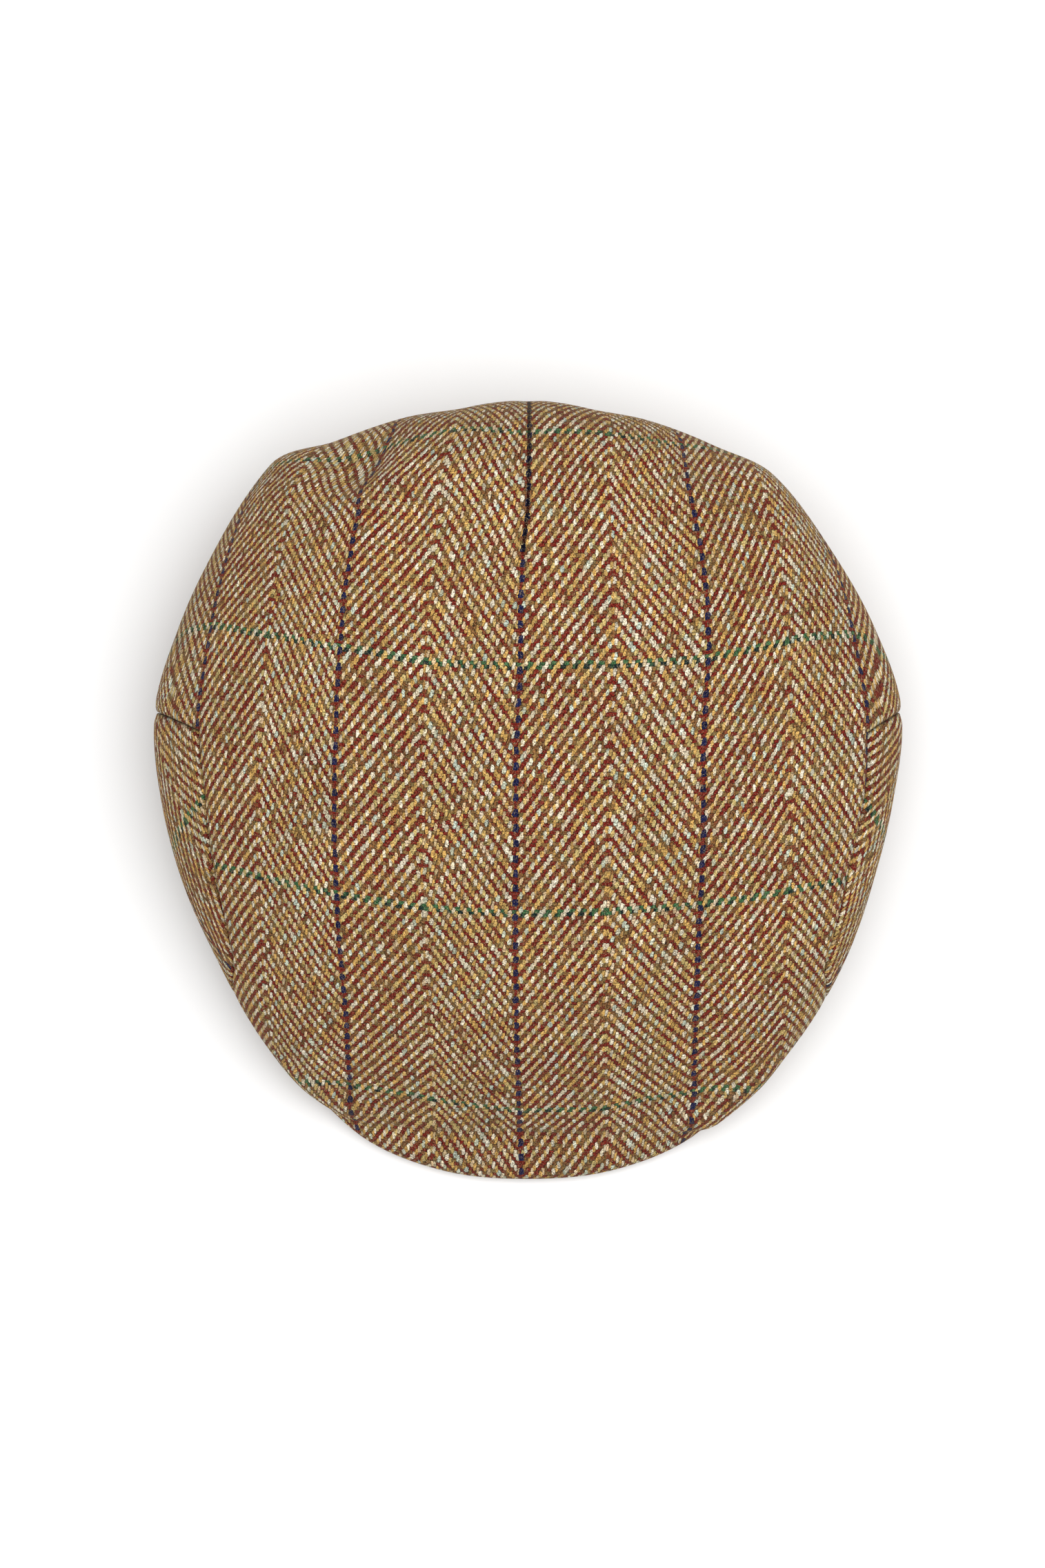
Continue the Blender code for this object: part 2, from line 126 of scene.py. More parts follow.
def read_table(table, column, place):
    """Smooth value of a column at a place between the table's rows, never past the rows beside it."""
    rows = [row[0] for row in table]
    values = [row[column] for row in table]
    if place <= rows[0]:
        return values[0]
    if place >= rows[-1]:
        return values[-1]
    slopes = [(values[i + 1] - values[i]) / (rows[i + 1] - rows[i]) for i in range(len(rows) - 1)]
    tangents = [0.0]
    for before, after in zip(slopes, slopes[1:]):
        tangents.append(2 * before * after / (before + after) if before * after > 0 else 0.0)
    tangents.append(0.0)
    low = max(index for index in range(len(slopes)) if rows[index] <= place)
    span = rows[low + 1] - rows[low]
    t = (place - rows[low]) / span
    start = (1 + 2 * t) * (1 - t) ** 2 * values[low] + t * (1 - t) ** 2 * span * tangents[low]
    end = t * t * (3 - 2 * t) * values[low + 1] - t * t * (1 - t) * span * tangents[low + 1]
    return start + end


def signed(azimuth):
    """Azimuth between -180 and 180 degrees."""
    return (azimuth + 180) % 360 - 180


def even(start, end, count):
    """Numbers from start to end in even steps."""
    return [start + (end - start) * step / count for step in range(count + 1)]


def overhang(azimuth):
    """How far the fold stands out over the rim."""
    return crown_overhang * read_table(crown_table, left_reach if azimuth < 0 else right_reach, abs(azimuth))


rim_half_length = head_length / 2 + cloth
rim_half_width = head_width / 2 + cloth
cap_length = head_length + 2 * cloth + peak_reach + overhang(180)
rim_middle_y = cap_length / 2 - overhang(180) - rim_half_length
crown_centre_y = rim_middle_y + crown_centre_forward
fold_slope = (fold_back_height - fold_front_height) / (cap_length - peak_reach / 2)


def rim_radius(azimuth):
    """Distance from the crown's centre to the rim's outer line."""
    across = sin(radians(azimuth)) / rim_half_width
    along = cos(radians(azimuth)) / rim_half_length
    offset = crown_centre_forward / rim_half_length
    a = across * across + along * along
    b = -2 * along * offset
    c = offset * offset - 1
    return (-b + sqrt(b * b - 4 * a * c)) / (2 * a)


def rim_height(azimuth):
    """Height of the rim, which rises from the back towards the peak."""
    return rim_rise * read_table(rim_table, rim_lift, abs(azimuth))


def edge_place(azimuth):
    """Radius and height of the cloth's lower edge: the peak's edge in front, the rim elsewhere."""
    radius = rim_radius(azimuth)
    height = rim_height(azimuth)
    if abs(azimuth) < peak_wrap:
        wrap = abs(azimuth) / peak_wrap
        radius = radius + peak_reach * read_table(peak_table, edge_reach, wrap)
        height = peak_edge_height + (height - peak_edge_height) * read_table(peak_table, edge_lift, wrap)
    return Vector((radius, height))


@lru_cache(maxsize=None)
def fold_place(azimuth):
    """Radius and height of the fold, where the crown is widest."""
    share = read_table(crown_table, fold_rise, abs(azimuth))
    height = fold_front_height + (fold_back_height - fold_front_height) * share
    return Vector((rim_radius(azimuth) + overhang(azimuth), height + crown_lean * sin(radians(azimuth))))


@lru_cache(maxsize=None)
def dome_values(azimuth):
    """Radius of the fold, then the fullness and the rounding of the dome behind it."""
    shape = [read_table(crown_table, column, abs(azimuth)) for column in (fullness, rounding)]
    return fold_place(azimuth).x, *shape


@lru_cache(maxsize=None)
def broad_values(azimuth):
    """The same values, evened out over a wide arc."""
    turns = [signed(azimuth + turn) for turn in even(-broad_arc, broad_arc, broad_steps)]
    return [sum(values) / len(turns) for values in zip(*map(dome_values, turns))]


def dome_place(azimuth, share):
    """Radius and height on the dome; share runs from 0 at the crown's centre to 1 at the fold."""
    fold = fold_place(azimuth)
    radius, full, round_off = [broad + (own - broad) * share ** 3
                               for broad, own in zip(broad_values(azimuth), dome_values(azimuth))]
    centre_height = fold_front_height + fold_slope * (cap_length / 2 - peak_reach / 2 + crown_centre_y)
    plane_end = centre_height - fold_slope * fold.x * cos(radians(azimuth))
    plane = centre_height + (plane_end - centre_height) * share + (fold.y - plane_end) * share ** 3
    dome = crown_height - centre_height
    return Vector((radius * share, plane + dome * (1 - share ** full) ** (1 / round_off)))


@lru_cache(maxsize=None)
def meridian(azimuth):
    """Points (radius, height) of the cloth's outer face, from the crown's centre to its lower edge."""
    fold = fold_place(azimuth)
    edge = edge_place(azimuth)
    lean = radians(read_table(rim_table, rim_lean, abs(azimuth)))
    hang = Vector((-sin(lean), cos(lean)))
    inward = max(fold.x - edge.x, 0.0)
    hem = edge + hang * min(hem_height, (fold - edge).length * hem_share)
    drop_share = read_table(rim_table, rim_drop, abs(azimuth))
    drop = Vector((0, -drop_share * (fold.y - edge.y) - fold_depth * inward))
    handle = hem + hang * hem_pull * (fold - edge).length
    points = [dome_place(azimuth, sin(pi / 2 * step / samples)) for step in range(samples + 1)]
    for step in range(1, samples + 1):
        t = step / samples
        s = 1 - t
        points.append(fold * s ** 3 + (fold + drop) * 3 * s * s * t + handle * 3 * s * t * t + hem * t ** 3)
    return points + [edge]


@lru_cache(maxsize=None)
def lengths_along(azimuth):
    """Distance along the cloth to each point of a meridian."""
    points = meridian(azimuth)
    totals = [0.0]
    for low, high in zip(points, points[1:]):
        totals.append(totals[-1] + (high - low).length)
    return totals


def turned(azimuth, place):
    """World point of a radius and height at an azimuth."""
    angle = radians(azimuth)
    return Vector((place.x * sin(angle), crown_centre_y - place.x * cos(angle), place.y))


@lru_cache(maxsize=None)
def dent_places():
    """Each dent's centre, its sideways direction and its sizes."""
    places = []
    for azimuth, out, depth, wide, long in dent_table:
        centre = turned(azimuth, dome_place(azimuth, out))
        outward = Vector((centre.x, centre.y - crown_centre_y, 0)).normalized()
        sideways = Vector((-outward.y, outward.x, 0))
        places.append((centre, sideways, crown_height * depth, crown_overhang * wide, crown_overhang * long))
    return places


def dented(point):
    """Point of the crown pressed in towards the crown's middle by the dents near it."""
    heart = Vector((0, crown_centre_y, fold_back_height))
    for centre, sideways, depth, wide, long in dent_places():
        offset = point - centre
        across = offset.dot(sideways) / wide
        along = (offset - sideways * offset.dot(sideways)).length / long
        press = depth * exp(-across * across - along * along)
        point = point - (point - heart).normalized() * press
    return point


def cloth_point(azimuth, distance):
    """World point of the outer face at a distance along the cloth from the crown's centre."""
    points = meridian(azimuth)
    totals = lengths_along(azimuth)
    low = min(max(int(np.searchsorted(totals, distance)) - 1, 0), len(points) - 2)
    share = (distance - totals[low]) / (totals[low + 1] - totals[low])
    return dented(turned(azimuth, points[low].lerp(points[low + 1], share)))


def cloth_outward(azimuth, distance):
    """Direction in which the outer face looks."""
    if distance < flat_middle:
        return Vector((0, 0, 1))
    after, before = signed(azimuth + feel_turn), signed(azimuth - feel_turn)
    across = cloth_point(after, distance) - cloth_point(before, distance)
    along = cloth_point(azimuth, distance) - cloth_point(azimuth, distance - feel_step)
    return along.cross(across).normalized()


def seam_distance(azimuth):
    """Distance along the cloth to the side seam, and to the lower edge where there is no side seam."""
    totals = lengths_along(azimuth)
    along = (abs(azimuth) - seam_tip) / (seam_corner - seam_tip)
    if along <= 0:
        return totals[-1]
    inset = seam_inset * read_table(seam_table, left_inset if azimuth < 0 else right_inset, along)
    under = read_table(seam_table, under_fold, along)
    return totals[samples] - inset + (totals[-1] - totals[samples]) * under


def behind_corner(azimuth):
    """Distance round the cap from the side seam's rear corner, less than 0 in front of it."""
    return (abs(azimuth) - seam_corner) * radians(1) * fold_place(azimuth).x


def swept(azimuth, distance):
    """Azimuth of a place, further back where the cloth follows the short leg of the side seam."""
    near = 1 - abs(abs(azimuth) - seam_corner) / seam_spread
    if near <= 0:
        return azimuth
    seam = seam_distance(azimuth)
    share = min(max((distance - seam) / (lengths_along(azimuth)[samples] - seam), 0.0), 1.0)
    return azimuth + copysign(seam_sweep * near * share * (2 - share), azimuth)


def seam_half_gap(azimuth):
    """Half of the seam's gap, measured along the meridian; more where the seam runs steeply."""
    turn = 0.5
    across = fold_place(azimuth).x * radians(2 * turn)
    slope = (seam_distance(azimuth + turn) - seam_distance(azimuth - turn)) / across
    return seam_gap / 2 * sqrt(1 + slope * slope)


# How the threads lie. The navy ends run from front to back and the green picks from side to side; each
# table gives their distances along the cloth, in mm, measured where the real cloth shows them.
# y of a place, then x of the centre navy end, then the distances from it to the navy ends on both sides
navy_table = [
    (-130, -2.0, -118.0, -60.0, 59.5, 123.0), (-98, -3.0, -117.0, -58.2, 59.5, 123.5),
    (-72, -3.8, -116.0, -57.6, 60.4, 124.0), (-47, -4.0, -115.5, -59.3, 60.9, 124.0),
    (-15, -3.9, -115.0, -60.5, 62.0, 124.0), (12, -3.7, -114.5, -60.3, 61.7, 123.5),
    (30, -2.9, -114.0, -60.4, 61.5, 122.0), (48, -2.3, -112.8, -59.8, 62.0, 119.0),
    (65, -2.1, -111.5, -58.6, 61.2, 118.0), (80, -1.4, -110.6, -57.0, 58.5, 117.5),
    (92, 0.1, -110.0, -56.2, 54.6, 116.0), (103, 0.4, -110.0, -58.0, 52.9, 114.0),
    (119, 0.6, -108.0, -49.5, 54.4, 112.0),
]
# x of a place, then y of the green picks before the middle, then the distances from them to the next
# green picks towards the peak and towards the back
green_table = [
    (-103, -23.1, -79.0, 82.1, 147.0), (-90, -26.2, -79.0, 82.6, 147.0), (-80, -28.6, -79.5, 83.8, 147.5),
    (-66, -31.5, -78.9, 84.1, 152.5), (-53, -33.8, -78.9, 84.8, 159.0), (-40, -35.8, -79.9, 84.9, 160.3),
    (-22, -37.5, -81.3, 84.7, 166.0), (-3, -38.5, -84.2, 84.5, 163.4), (24, -37.9, -83.2, 85.0, 164.2),
    (46, -36.6, -78.4, 84.2, 160.8), (56, -35.7, -75.8, 83.7, 162.2), (73, -33.6, -75.8, 84.7, 163.3),
    (90, -30.4, -76.7, 85.0, 163.0), (107, -27.7, -77.0, 84.0, 162.0),
]
# threads in one repeat of the overcheck, and how far apart the ends lie and the picks
repeat = 64
end_pitch = 0.00095
pick_pitch = 0.00131
# end under the middle of the navy line, and pick at which the green line starts
navy_end = 0.5
green_pick = 1.0
# square map of the distances along the cloth: half its side and its steps, then the reach and the rows
# of the heights it is made from, and the least step out that counts as one
map_half = 0.140
map_step = 0.0005
map_reach = 0.150
map_rows = 90
least_step = 1e-5
# azimuths up to which the top panel runs on over the peak, and from which it folds down steeply, with the
# share of the cloth's length down to which the threads are read from the map
gentle_front = 10.0
steep_front = 20.0
open_rim = 0.985
folded_rim = 0.965


def heights_around():
    """Heights of the cloth, by degrees round the crown's centre and by steps out from it."""
    radii = np.arange(0, map_reach, map_step)
    around = []
    for turn in range(-180, 181):
        totals = lengths_along(float(turn))
        last = totals[samples] if abs(turn) > steep_front else totals[-1]
        points = [cloth_point(float(turn), place) for place in even(0, last, map_rows)]
        out, rise = [0.0], [points[0].z]
        for point in points[1:]:
            reach = hypot(point.x, point.y - crown_centre_y)
            if reach > out[-1] + least_step:
                out.append(reach)
                rise.append(point.z)
        around.append(np.interp(radii, out, rise))
    return np.array(around)


def distance_maps():
    """Distances along the cloth over a square grid, from side to side and from front to back."""
    around = heights_around()
    places = np.arange(-map_half, map_half + map_step / 2, map_step)
    x, y = np.meshgrid(places, places)
    turn = np.degrees(np.arctan2(x, crown_centre_y - y)) + 180
    out = np.hypot(x, y - crown_centre_y) / map_step
    t = np.clip(np.floor(turn).astype(int), 0, around.shape[0] - 2)
    r = np.clip(np.floor(out).astype(int), 0, around.shape[1] - 2)
    past_t, past_r = turn - t, np.clip(out - r, 0, 1)
    rise = ((around[t, r] * (1 - past_r) + around[t, r + 1] * past_r) * (1 - past_t)
            + (around[t + 1, r] * (1 - past_r) + around[t + 1, r + 1] * past_r) * past_t)
    across = np.cumsum(np.hypot(map_step, np.diff(rise, axis=1, prepend=rise[:, :1])), axis=1)
    along = np.cumsum(np.hypot(map_step, np.diff(rise, axis=0, prepend=rise[:1])), axis=0)
    return across, along


map_across, map_along = distance_maps()
# last place on the map that still has a neighbour beyond it
map_last = len(map_across) - 1.001


def on_map(distances, x, y):
    """Distance between the four nearest places of the map."""
    past_i = min(max((x + map_half) / map_step, 0), map_last)
    past_j = min(max((y + map_half) / map_step, 0), map_last)
    i, j = int(past_i), int(past_j)
    past_i, past_j = past_i - i, past_j - j
    low = distances[j, i] * (1 - past_i) + distances[j, i + 1] * past_i
    high = distances[j + 1, i] * (1 - past_i) + distances[j + 1, i + 1] * past_i
    return low * (1 - past_j) + high * past_j


def table_row(table, place):
    """Every column of a table of distances at a place, in metres."""
    places, *columns = zip(*table)
    return [np.interp(place * 1000, places, column) / 1000 for column in columns]


def thread_count(distance, knots, counts, pitch):
    """Threads counted from the middle one at a distance along the cloth."""
    if distance < knots[0]:
        return counts[0] + (distance - knots[0]) / pitch
    if distance > knots[-1]:
        return counts[-1] + (distance - knots[-1]) / pitch
    return float(np.interp(distance, knots, counts))


def threads_past(azimuth, distance, rim):
    """Ends and picks at a place of the top panel; past a rim they are counted straight down from it."""
    past = max(distance - rim, 0.0)
    point = cloth_point(azimuth, min(distance, rim))
    across = on_map(map_across, point.x, point.y) + past * sin(radians(azimuth))
    along = on_map(map_along, point.x, point.y) - past * cos(radians(azimuth))
    middle_x, far_left, left, right, far_right = table_row(navy_table, point.y)
    middle_y, peak_side, back_side, far_back = table_row(green_table, point.x)
    across -= on_map(map_across, middle_x, point.y)
    along -= on_map(map_along, point.x, middle_y)
    ends = thread_count(across, (far_left, left, 0, right, far_right),
                        (-2 * repeat, -repeat, 0, repeat, 2 * repeat), end_pitch)
    picks = thread_count(along, (peak_side, 0, back_side, far_back),
                         (-repeat, 0, repeat, 2 * repeat), pick_pitch)
    return Vector((ends + navy_end, picks + green_pick))


def crown_threads(azimuth, distance):
    """Ends and picks at a place of the top panel, smooth from the open front to the folded sides."""
    totals = lengths_along(azimuth)
    steep = min(max((abs(azimuth) - gentle_front) / (steep_front - gentle_front), 0.0), 1.0)
    open_front = threads_past(azimuth, distance, totals[-1] * open_rim) if steep < 1 else Vector((0, 0))
    folded = threads_past(azimuth, distance, totals[samples] * folded_rim) if steep > 0 else Vector((0, 0))
    return open_front * (1 - steep) + folded * steep


# cut edges: how far they are rounded off, and the valley that the seam pulls into the cloth beside them
edge_round = 0.0008
valley_depth = 0.0008
valley_width = 0.0020
far_from_edges = 1.0
# shadow in the side seam's fold: its width, and its depth on the short leg and on the long one
seam_shadow = 0.0007
leg_depth = 0.75
long_depth = 0.25
# rows of points: the last ones before an edge, the parts that a short way there is shared into, then
# those on the dome up to its knee and those below it
close_rows = (0.0020, 0.0012, 0.0007, 0.0003, 0.0)
close_part = 8
dome_rows = 44
dome_bend = pi / 2 * 0.85
dome_focus = 0.6
knee_step = 34
knee_room = 0.006
turn_rows = 30
lower_rows = 34
# columns of points, in degrees: their steps, the finer ones next to the seam's tip, those on both sides
# of the dart, and the room left before the seam's rear corner
column_step = 1.1
tip_step = 0.5
tip_arc = 10
dart_columns = (6.0, 4.5, 3.2, 2.2, 1.5, 0.9, 0.4)
corner_room = 1


def pinch(distance):
    """How far each face of the cloth rounds off towards the middle of its thickness near a cut edge."""
    if distance >= edge_round:
        return 0.0
    return edge_round * (1 - sqrt(1 - (1 - max(distance, 0) / edge_round) ** 2))


def seam_painted_shade(azimuth, distance):
    """Strength of the shade painted into the side seam's fold: most at its short leg, less at its long one, 0
    away from both.
    """
    if abs(azimuth) <= seam_tip:
        return 0.0
    past = distance - seam_distance(azimuth)
    short_leg = exp(-(hypot(behind_corner(azimuth), min(past, 0.0)) / seam_shadow) ** 2)
    if abs(azimuth) > seam_corner:
        return short_leg * leg_depth
    return max(short_leg * leg_depth, exp(-(past / seam_shadow) ** 2) * long_depth)


def with_close_rows(start, end, count):
    """Distances from start to end, the last ones close together."""
    span = abs(end - start)
    way = 1 if end > start else -1
    close = [end - way * min(row, span * (len(close_rows) - index) / close_part)
             for index, row in enumerate(close_rows)]
    return even(start, close[0], count - len(close_rows) + 1) + close[1:]


def new_object(name, mesh):
    """Object of a mesh, linked to the scene."""
    result = bpy.data.objects.new(name, mesh)
    bpy.context.scene.collection.objects.link(result)
    return result


def join(surface, low, high):
    """Faces between two neighbouring columns, with three corners where two fall on one point."""
    for row in range(min(len(low), len(high)) - 1):
        corners = list(dict.fromkeys([low[row], low[row + 1], high[row + 1], high[row]]))
        if len(corners) > 2:
            surface.faces.new(corners)


def finished(name, surface, counts):
    """Object of a surface, smooth, with the thread counts of its points as the UV map."""
    weave = surface.loops.layers.uv.new("threads")
    for face in surface.faces:
        face.smooth = True
        for loop in face.loops:
            loop[weave].uv = counts(loop.vert)
    mesh = bpy.data.meshes.new(name)
    surface.to_mesh(mesh)
    surface.free()
    return new_object(name, mesh)


class ClothPanel:
    """Closed wall of cloth under construction: its outer face, then its inner face one cloth further in."""

    def __init__(self, name, threads):
        self.name = name
        self.threads = threads
        self.surface = bmesh.new()
        # each point carries how much shade is painted on it in a side seam's fold, read by the cloth's colour
        self.fold = self.surface.verts.layers.float.new("painted_seam_shade")
        self.inner = {}
        self.place = {}

    def add(self, azimuth, distance, off_edge):
        """Point of the panel, off_edge away from its nearest cut edge."""
        # strength of the shade painted here in the side seam's fold
        painted_shade = seam_painted_shade(azimuth, distance)
        azimuth = swept(azimuth, distance)
        point = cloth_point(azimuth, distance)
        normal = cloth_outward(azimuth, distance)
        sink = valley_depth * exp(-(off_edge / valley_width) ** 2)
        trim = pinch(off_edge)
        outer = self.surface.verts.new(point - normal * (sink + trim))
        outer[self.fold] = painted_shade
        self.inner[outer] = point - normal * (sink + cloth - trim)
        self.place[outer] = self.threads(azimuth, distance)
        return outer

    def finish(self):
        """Adds the inner face and the walls at the edges, and returns the object."""
        faces = list(self.surface.faces)
        open_edges = [edge for edge in self.surface.edges if edge.is_boundary]
        loops = [(edge.link_loops[0].vert, edge.link_loops[0].link_loop_next.vert) for edge in open_edges]
        inner = {}
        for outer, place in self.inner.items():
            inner[outer] = self.surface.verts.new(place)
            inner[outer][self.fold] = outer[self.fold]
            self.place[inner[outer]] = self.place[outer]
        for face in faces:
            self.surface.faces.new([inner[point] for point in reversed(face.verts)])
        for first, second in loops:
            self.surface.faces.new([second, first, inner[first], inner[second]])
        return finished(self.name, self.surface, self.place.get)


def top_off_edge(azimuth, distance):
    """Distance from a place of the top panel to its nearest cut edge."""
    end = lengths_along(azimuth)[-1] - distance
    if abs(azimuth) <= seam_tip:
        return end
    seam = seam_distance(azimuth)
    if abs(azimuth) < seam_corner:
        return max(seam - distance, 0.0)
    return min(hypot(behind_corner(azimuth), max(seam - distance, 0.0)), end)


def columns_between(start, end, step):
    """Azimuths from start to end, about a step apart."""
    return even(start, end, max(1, round(abs(end - start) / step)))


def near_corner(side, gap):
    """Azimuths close to the side seam's rear corner, on the side away from the peak or towards it."""
    radius = rim_radius(90) + crown_overhang
    return [seam_corner + side * (gap + degrees(row / radius)) for row in close_rows[::-1]]


def along_seam(room):
    """Azimuths of the columns along a side seam, from its tip to some room before its rear corner."""
    return (columns_between(seam_tip, seam_tip + tip_arc, tip_step)[:-1]
            + columns_between(seam_tip + tip_arc, seam_corner - room, column_step))


def dome_places(knee, full):
    """Distances of the rows from the crown's centre to the knee, closer together towards it."""
    places = []
    for row in range(1, dome_rows):
        bent = full * sin(row / dome_rows * dome_bend) / sin(dome_bend)
        straight = full * row / dome_rows
        places.append((bent * dome_focus + straight * (1 - dome_focus)) * knee / full)
    return places


gap_angle = degrees(seam_gap / 2 / rim_radius(90))


def build_top_panel():
    """Cloth from the crown's centre out to the peak's edge, the side seams and the back rim."""
    right = along_seam(corner_room) + near_corner(1, gap_angle)
    left = [-azimuth for azimuth in right[::-1]]
    back = [180 - turn for turn in dart_columns]
    back = back + [180] + [360 - azimuth for azimuth in back[::-1]]
    azimuths = (left[:-1] + columns_between(-seam_tip, seam_tip, column_step)[:-1] + right[:-1]
                + columns_between(right[-1], back[0], column_step)[:-1] + back[:-1]
                + columns_between(back[-1], 360 + left[0], column_step)[:-1])
    panel = ClothPanel("top_cloth", crown_threads)
    pole = panel.add(0.0, 0.0, far_from_edges)
    columns = []
    first_whole = seam_corner + gap_angle / 2
    for turn in azimuths:
        azimuth = signed(turn)
        whole = first_whole < turn % 360 < 360 - first_whole
        totals = lengths_along(azimuth)
        end = totals[-1]
        seam = seam_distance(azimuth)
        last = min(seam, end)
        if seam < end and not whole:
            last = seam - seam_half_gap(azimuth)
        knee = min(totals[knee_step], last - knee_room)
        rows = dome_places(knee, totals[knee_step])
        rows += even(knee, last, turn_rows) if whole else with_close_rows(knee, last, turn_rows)
        if whole:
            rows += with_close_rows(seam, end, lower_rows)[1:]
        columns.append([pole] + [panel.add(azimuth, row, top_off_edge(azimuth, row)) for row in rows])
    for low, high in zip(columns, columns[1:] + columns[:1]):
        join(panel.surface, low, high)
    return panel.finish()


top_cloth = build_top_panel()

# Colours of the dyed yarns: two kinds of end, the pick's two browns, and the yarns of the overcheck
cream = (0.65, 0.58, 0.455)
sage = (0.45, 0.52, 0.44)
blush = (0.57, 0.40, 0.24)
ochre = (0.50, 0.295, 0.085)
straw = (0.47, 0.36, 0.14)
maroon = (0.115, 0.011, 0.007)
rust = (0.165, 0.072, 0.024)
olive = (0.120, 0.082, 0.028)
navy = (0.008, 0.010, 0.046)
green = (0.032, 0.090, 0.036)
bottle = (0.006, 0.014, 0.014)
hair_colour = (0.55, 0.42, 0.24)
sheen_tint = (0.95, 0.80, 0.58, 1.0)
# pick at which the centre-back dart starts, how many picks it takes to close, and what a fold leaves
# of the light
dart_start = 93.0
dart_closing = 3.0
fold_shade = 0.16
# threads in one round of the twill, the place where the herringbone turns, and the count that the green
# picks lie under; the navy end is the first of each repeat
twill_threads = 4.0
herringbone_turn = repeat / 2 - 0.5
green_count = 1.5
# how far the yarns wander from their places, in threads, and how quickly
wander = 1.1
wander_scale = 0.45
# floats of the pick and of the ends: width and length in threads and the bulge of their outline, then
# for the ends the lean of the twist, the shift to either side, the fray and what a navy end adds
pick_width, pick_length = 1.25, 1.5
across_bulge, along_bulge = 2.2, 2.6
float_width = (1.22, 1.58)
float_length = (1.22, 1.04)
float_lean = -0.34
float_shift = 0.25
float_fray = 2.0
navy_width, navy_length, navy_stand = 0.75, 0.25, 3.0
under_cloth = -9.0
nothing_yet = -2.0
# places from which the separate noises are read, so that no two of them look alike
pick_noise, hair_noise, fibre_noise, fray_noise, speckle_noise = 7.0, 21.0, 3.0, 17.0, 11.0


class Yarns:
    """Node tree of a tweed, with short ways to add its sums and mixes, and the place of each thread."""

    def __init__(self, name):
        self.material = bpy.data.materials.new(name)
        self.material.use_nodes = True
        self.tree = self.material.node_tree
        self.shader = self.tree.nodes["Principled BSDF"]

    def put(self, socket, value):
        """Joins a socket to another, or sets it."""
        if isinstance(value, bpy.types.NodeSocket):
            self.tree.links.new(value, socket)
        elif isinstance(value, tuple) and len(value) == 3 and len(socket.default_value) == 4:
            socket.default_value = (*value, 1.0)
        else:
            socket.default_value = value

    def add(self, kind, *values, **settings):
        """New node of a kind, with its settings and its first inputs."""
        node = self.tree.nodes.new("ShaderNode" + kind)
        for name, value in settings.items():
            setattr(node, name, value)
        for socket, value in zip(node.inputs, values):
            self.put(socket, value)
        return node

    def sum(self, operation, *values):
        """Result of a math node."""
        return self.add("Math", *values, operation=operation).outputs[0]

    def product(self, *values):
        """All the values multiplied together."""
        result = values[0]
        for value in values[1:]:
            result = self.sum("MULTIPLY", result, value)
        return result

    def mix(self, share, low, high, kind="RGBA", first=6, result=2):
        """Mix of two colours."""
        node = self.add("Mix", share, data_type=kind)
        self.put(node.inputs[first], low)
        self.put(node.inputs[first + 1], high)
        return node.outputs[result]

    def blend(self, share, low, high):
        """Mix of two numbers."""
        return self.mix(share, low, high, "FLOAT", first=2, result=0)

    def ramp(self, value, low, high, start=0.0, end=1.0):
        """Value moved from one range to another, and held inside it."""
        return self.add("MapRange", value, low, high, start, end).outputs[0]

    def vector(self, x, y, z=0.0):
        """Vector of three numbers."""
        return self.add("CombineXYZ", x, y, z).outputs[0]

    def noise(self, vector, scale, detail=2.0):
        """Soft noise around one half."""
        node = self.add("TexNoise", vector)
        node.inputs["Scale"].default_value = scale
        node.inputs["Detail"].default_value = detail
        return node.outputs["Fac"]

    def dice(self, x, y):
        """Random number from 0 to 1 for each pair of whole numbers."""
        return self.add("TexWhiteNoise", self.vector(x, y), noise_dimensions="2D").outputs["Value"]

    def stretched(self, by_u, by_v, z):
        """Thread counts, each made longer or shorter, to read a noise from."""
        return self.vector(self.sum("MULTIPLY", self.u, by_u), self.sum("MULTIPLY", self.v, by_v), z)

    def away(self, value, middle):
        """Distance of a value from a middle, either way."""
        return self.sum("ABSOLUTE", self.sum("SUBTRACT", value, middle))

    def odd(self, count):
        """1 for an odd count, 0 for an even one."""
        return self.sum("FLOORED_MODULO", count, 2.0)

    def wandering(self, vector, count):
        """Thread count, let wander a little as yarns do."""
        stray = self.sum("SUBTRACT", self.noise(vector, wander_scale, 3.0), 0.5)
        return self.sum("MULTIPLY_ADD", stray, wander, count)

    def lay_threads(self):
        """Reads the thread counts: straight, wandering and whole ones, and the place across a thread."""
        uv = self.add("UVMap", uv_map="threads")
        self.straight_u, self.straight_v = self.add("SeparateXYZ", uv.outputs[0]).outputs[:2]
        self.flat = self.vector(self.straight_u, self.straight_v)
        self.u = self.wandering(self.flat, self.straight_u)
        self.v = self.wandering(self.vector(self.straight_v, self.straight_u, pick_noise), self.straight_v)
        self.end = self.sum("FLOOR", self.u)
        self.pick = self.sum("FLOOR", self.v)
        self.in_end = self.sum("SUBTRACT", self.u, self.end)
        self.in_pick = self.sum("SUBTRACT", self.v, self.pick)


def twill_phase(yarns, end, pick):
    """Place in the repeat, and in the twill: 0 and 1 bring the end on top, 2 and 3 the pick."""
    place = yarns.sum("FLOORED_MODULO", end, float(repeat))
    off_turn = yarns.away(place, herringbone_turn)
    mirrored = yarns.sum("ROUND", yarns.sum("SUBTRACT", herringbone_turn, off_turn))
    phase = yarns.sum("FLOORED_MODULO", yarns.sum("SUBTRACT", mirrored, pick), twill_threads)
    return place, phase


def oval(yarns, across, along, width, length):
    """Height of an oval float: 1 in its middle, 0 at its edge, and less outside it."""
    off = [yarns.sum("POWER", yarns.sum("ABSOLUTE", yarns.sum("DIVIDE", place, size)), bulge)
           for place, size, bulge in ((across, width, across_bulge), (along, length, along_bulge))]
    return yarns.sum("SUBTRACT", 1.0, yarns.sum("ADD", *off))


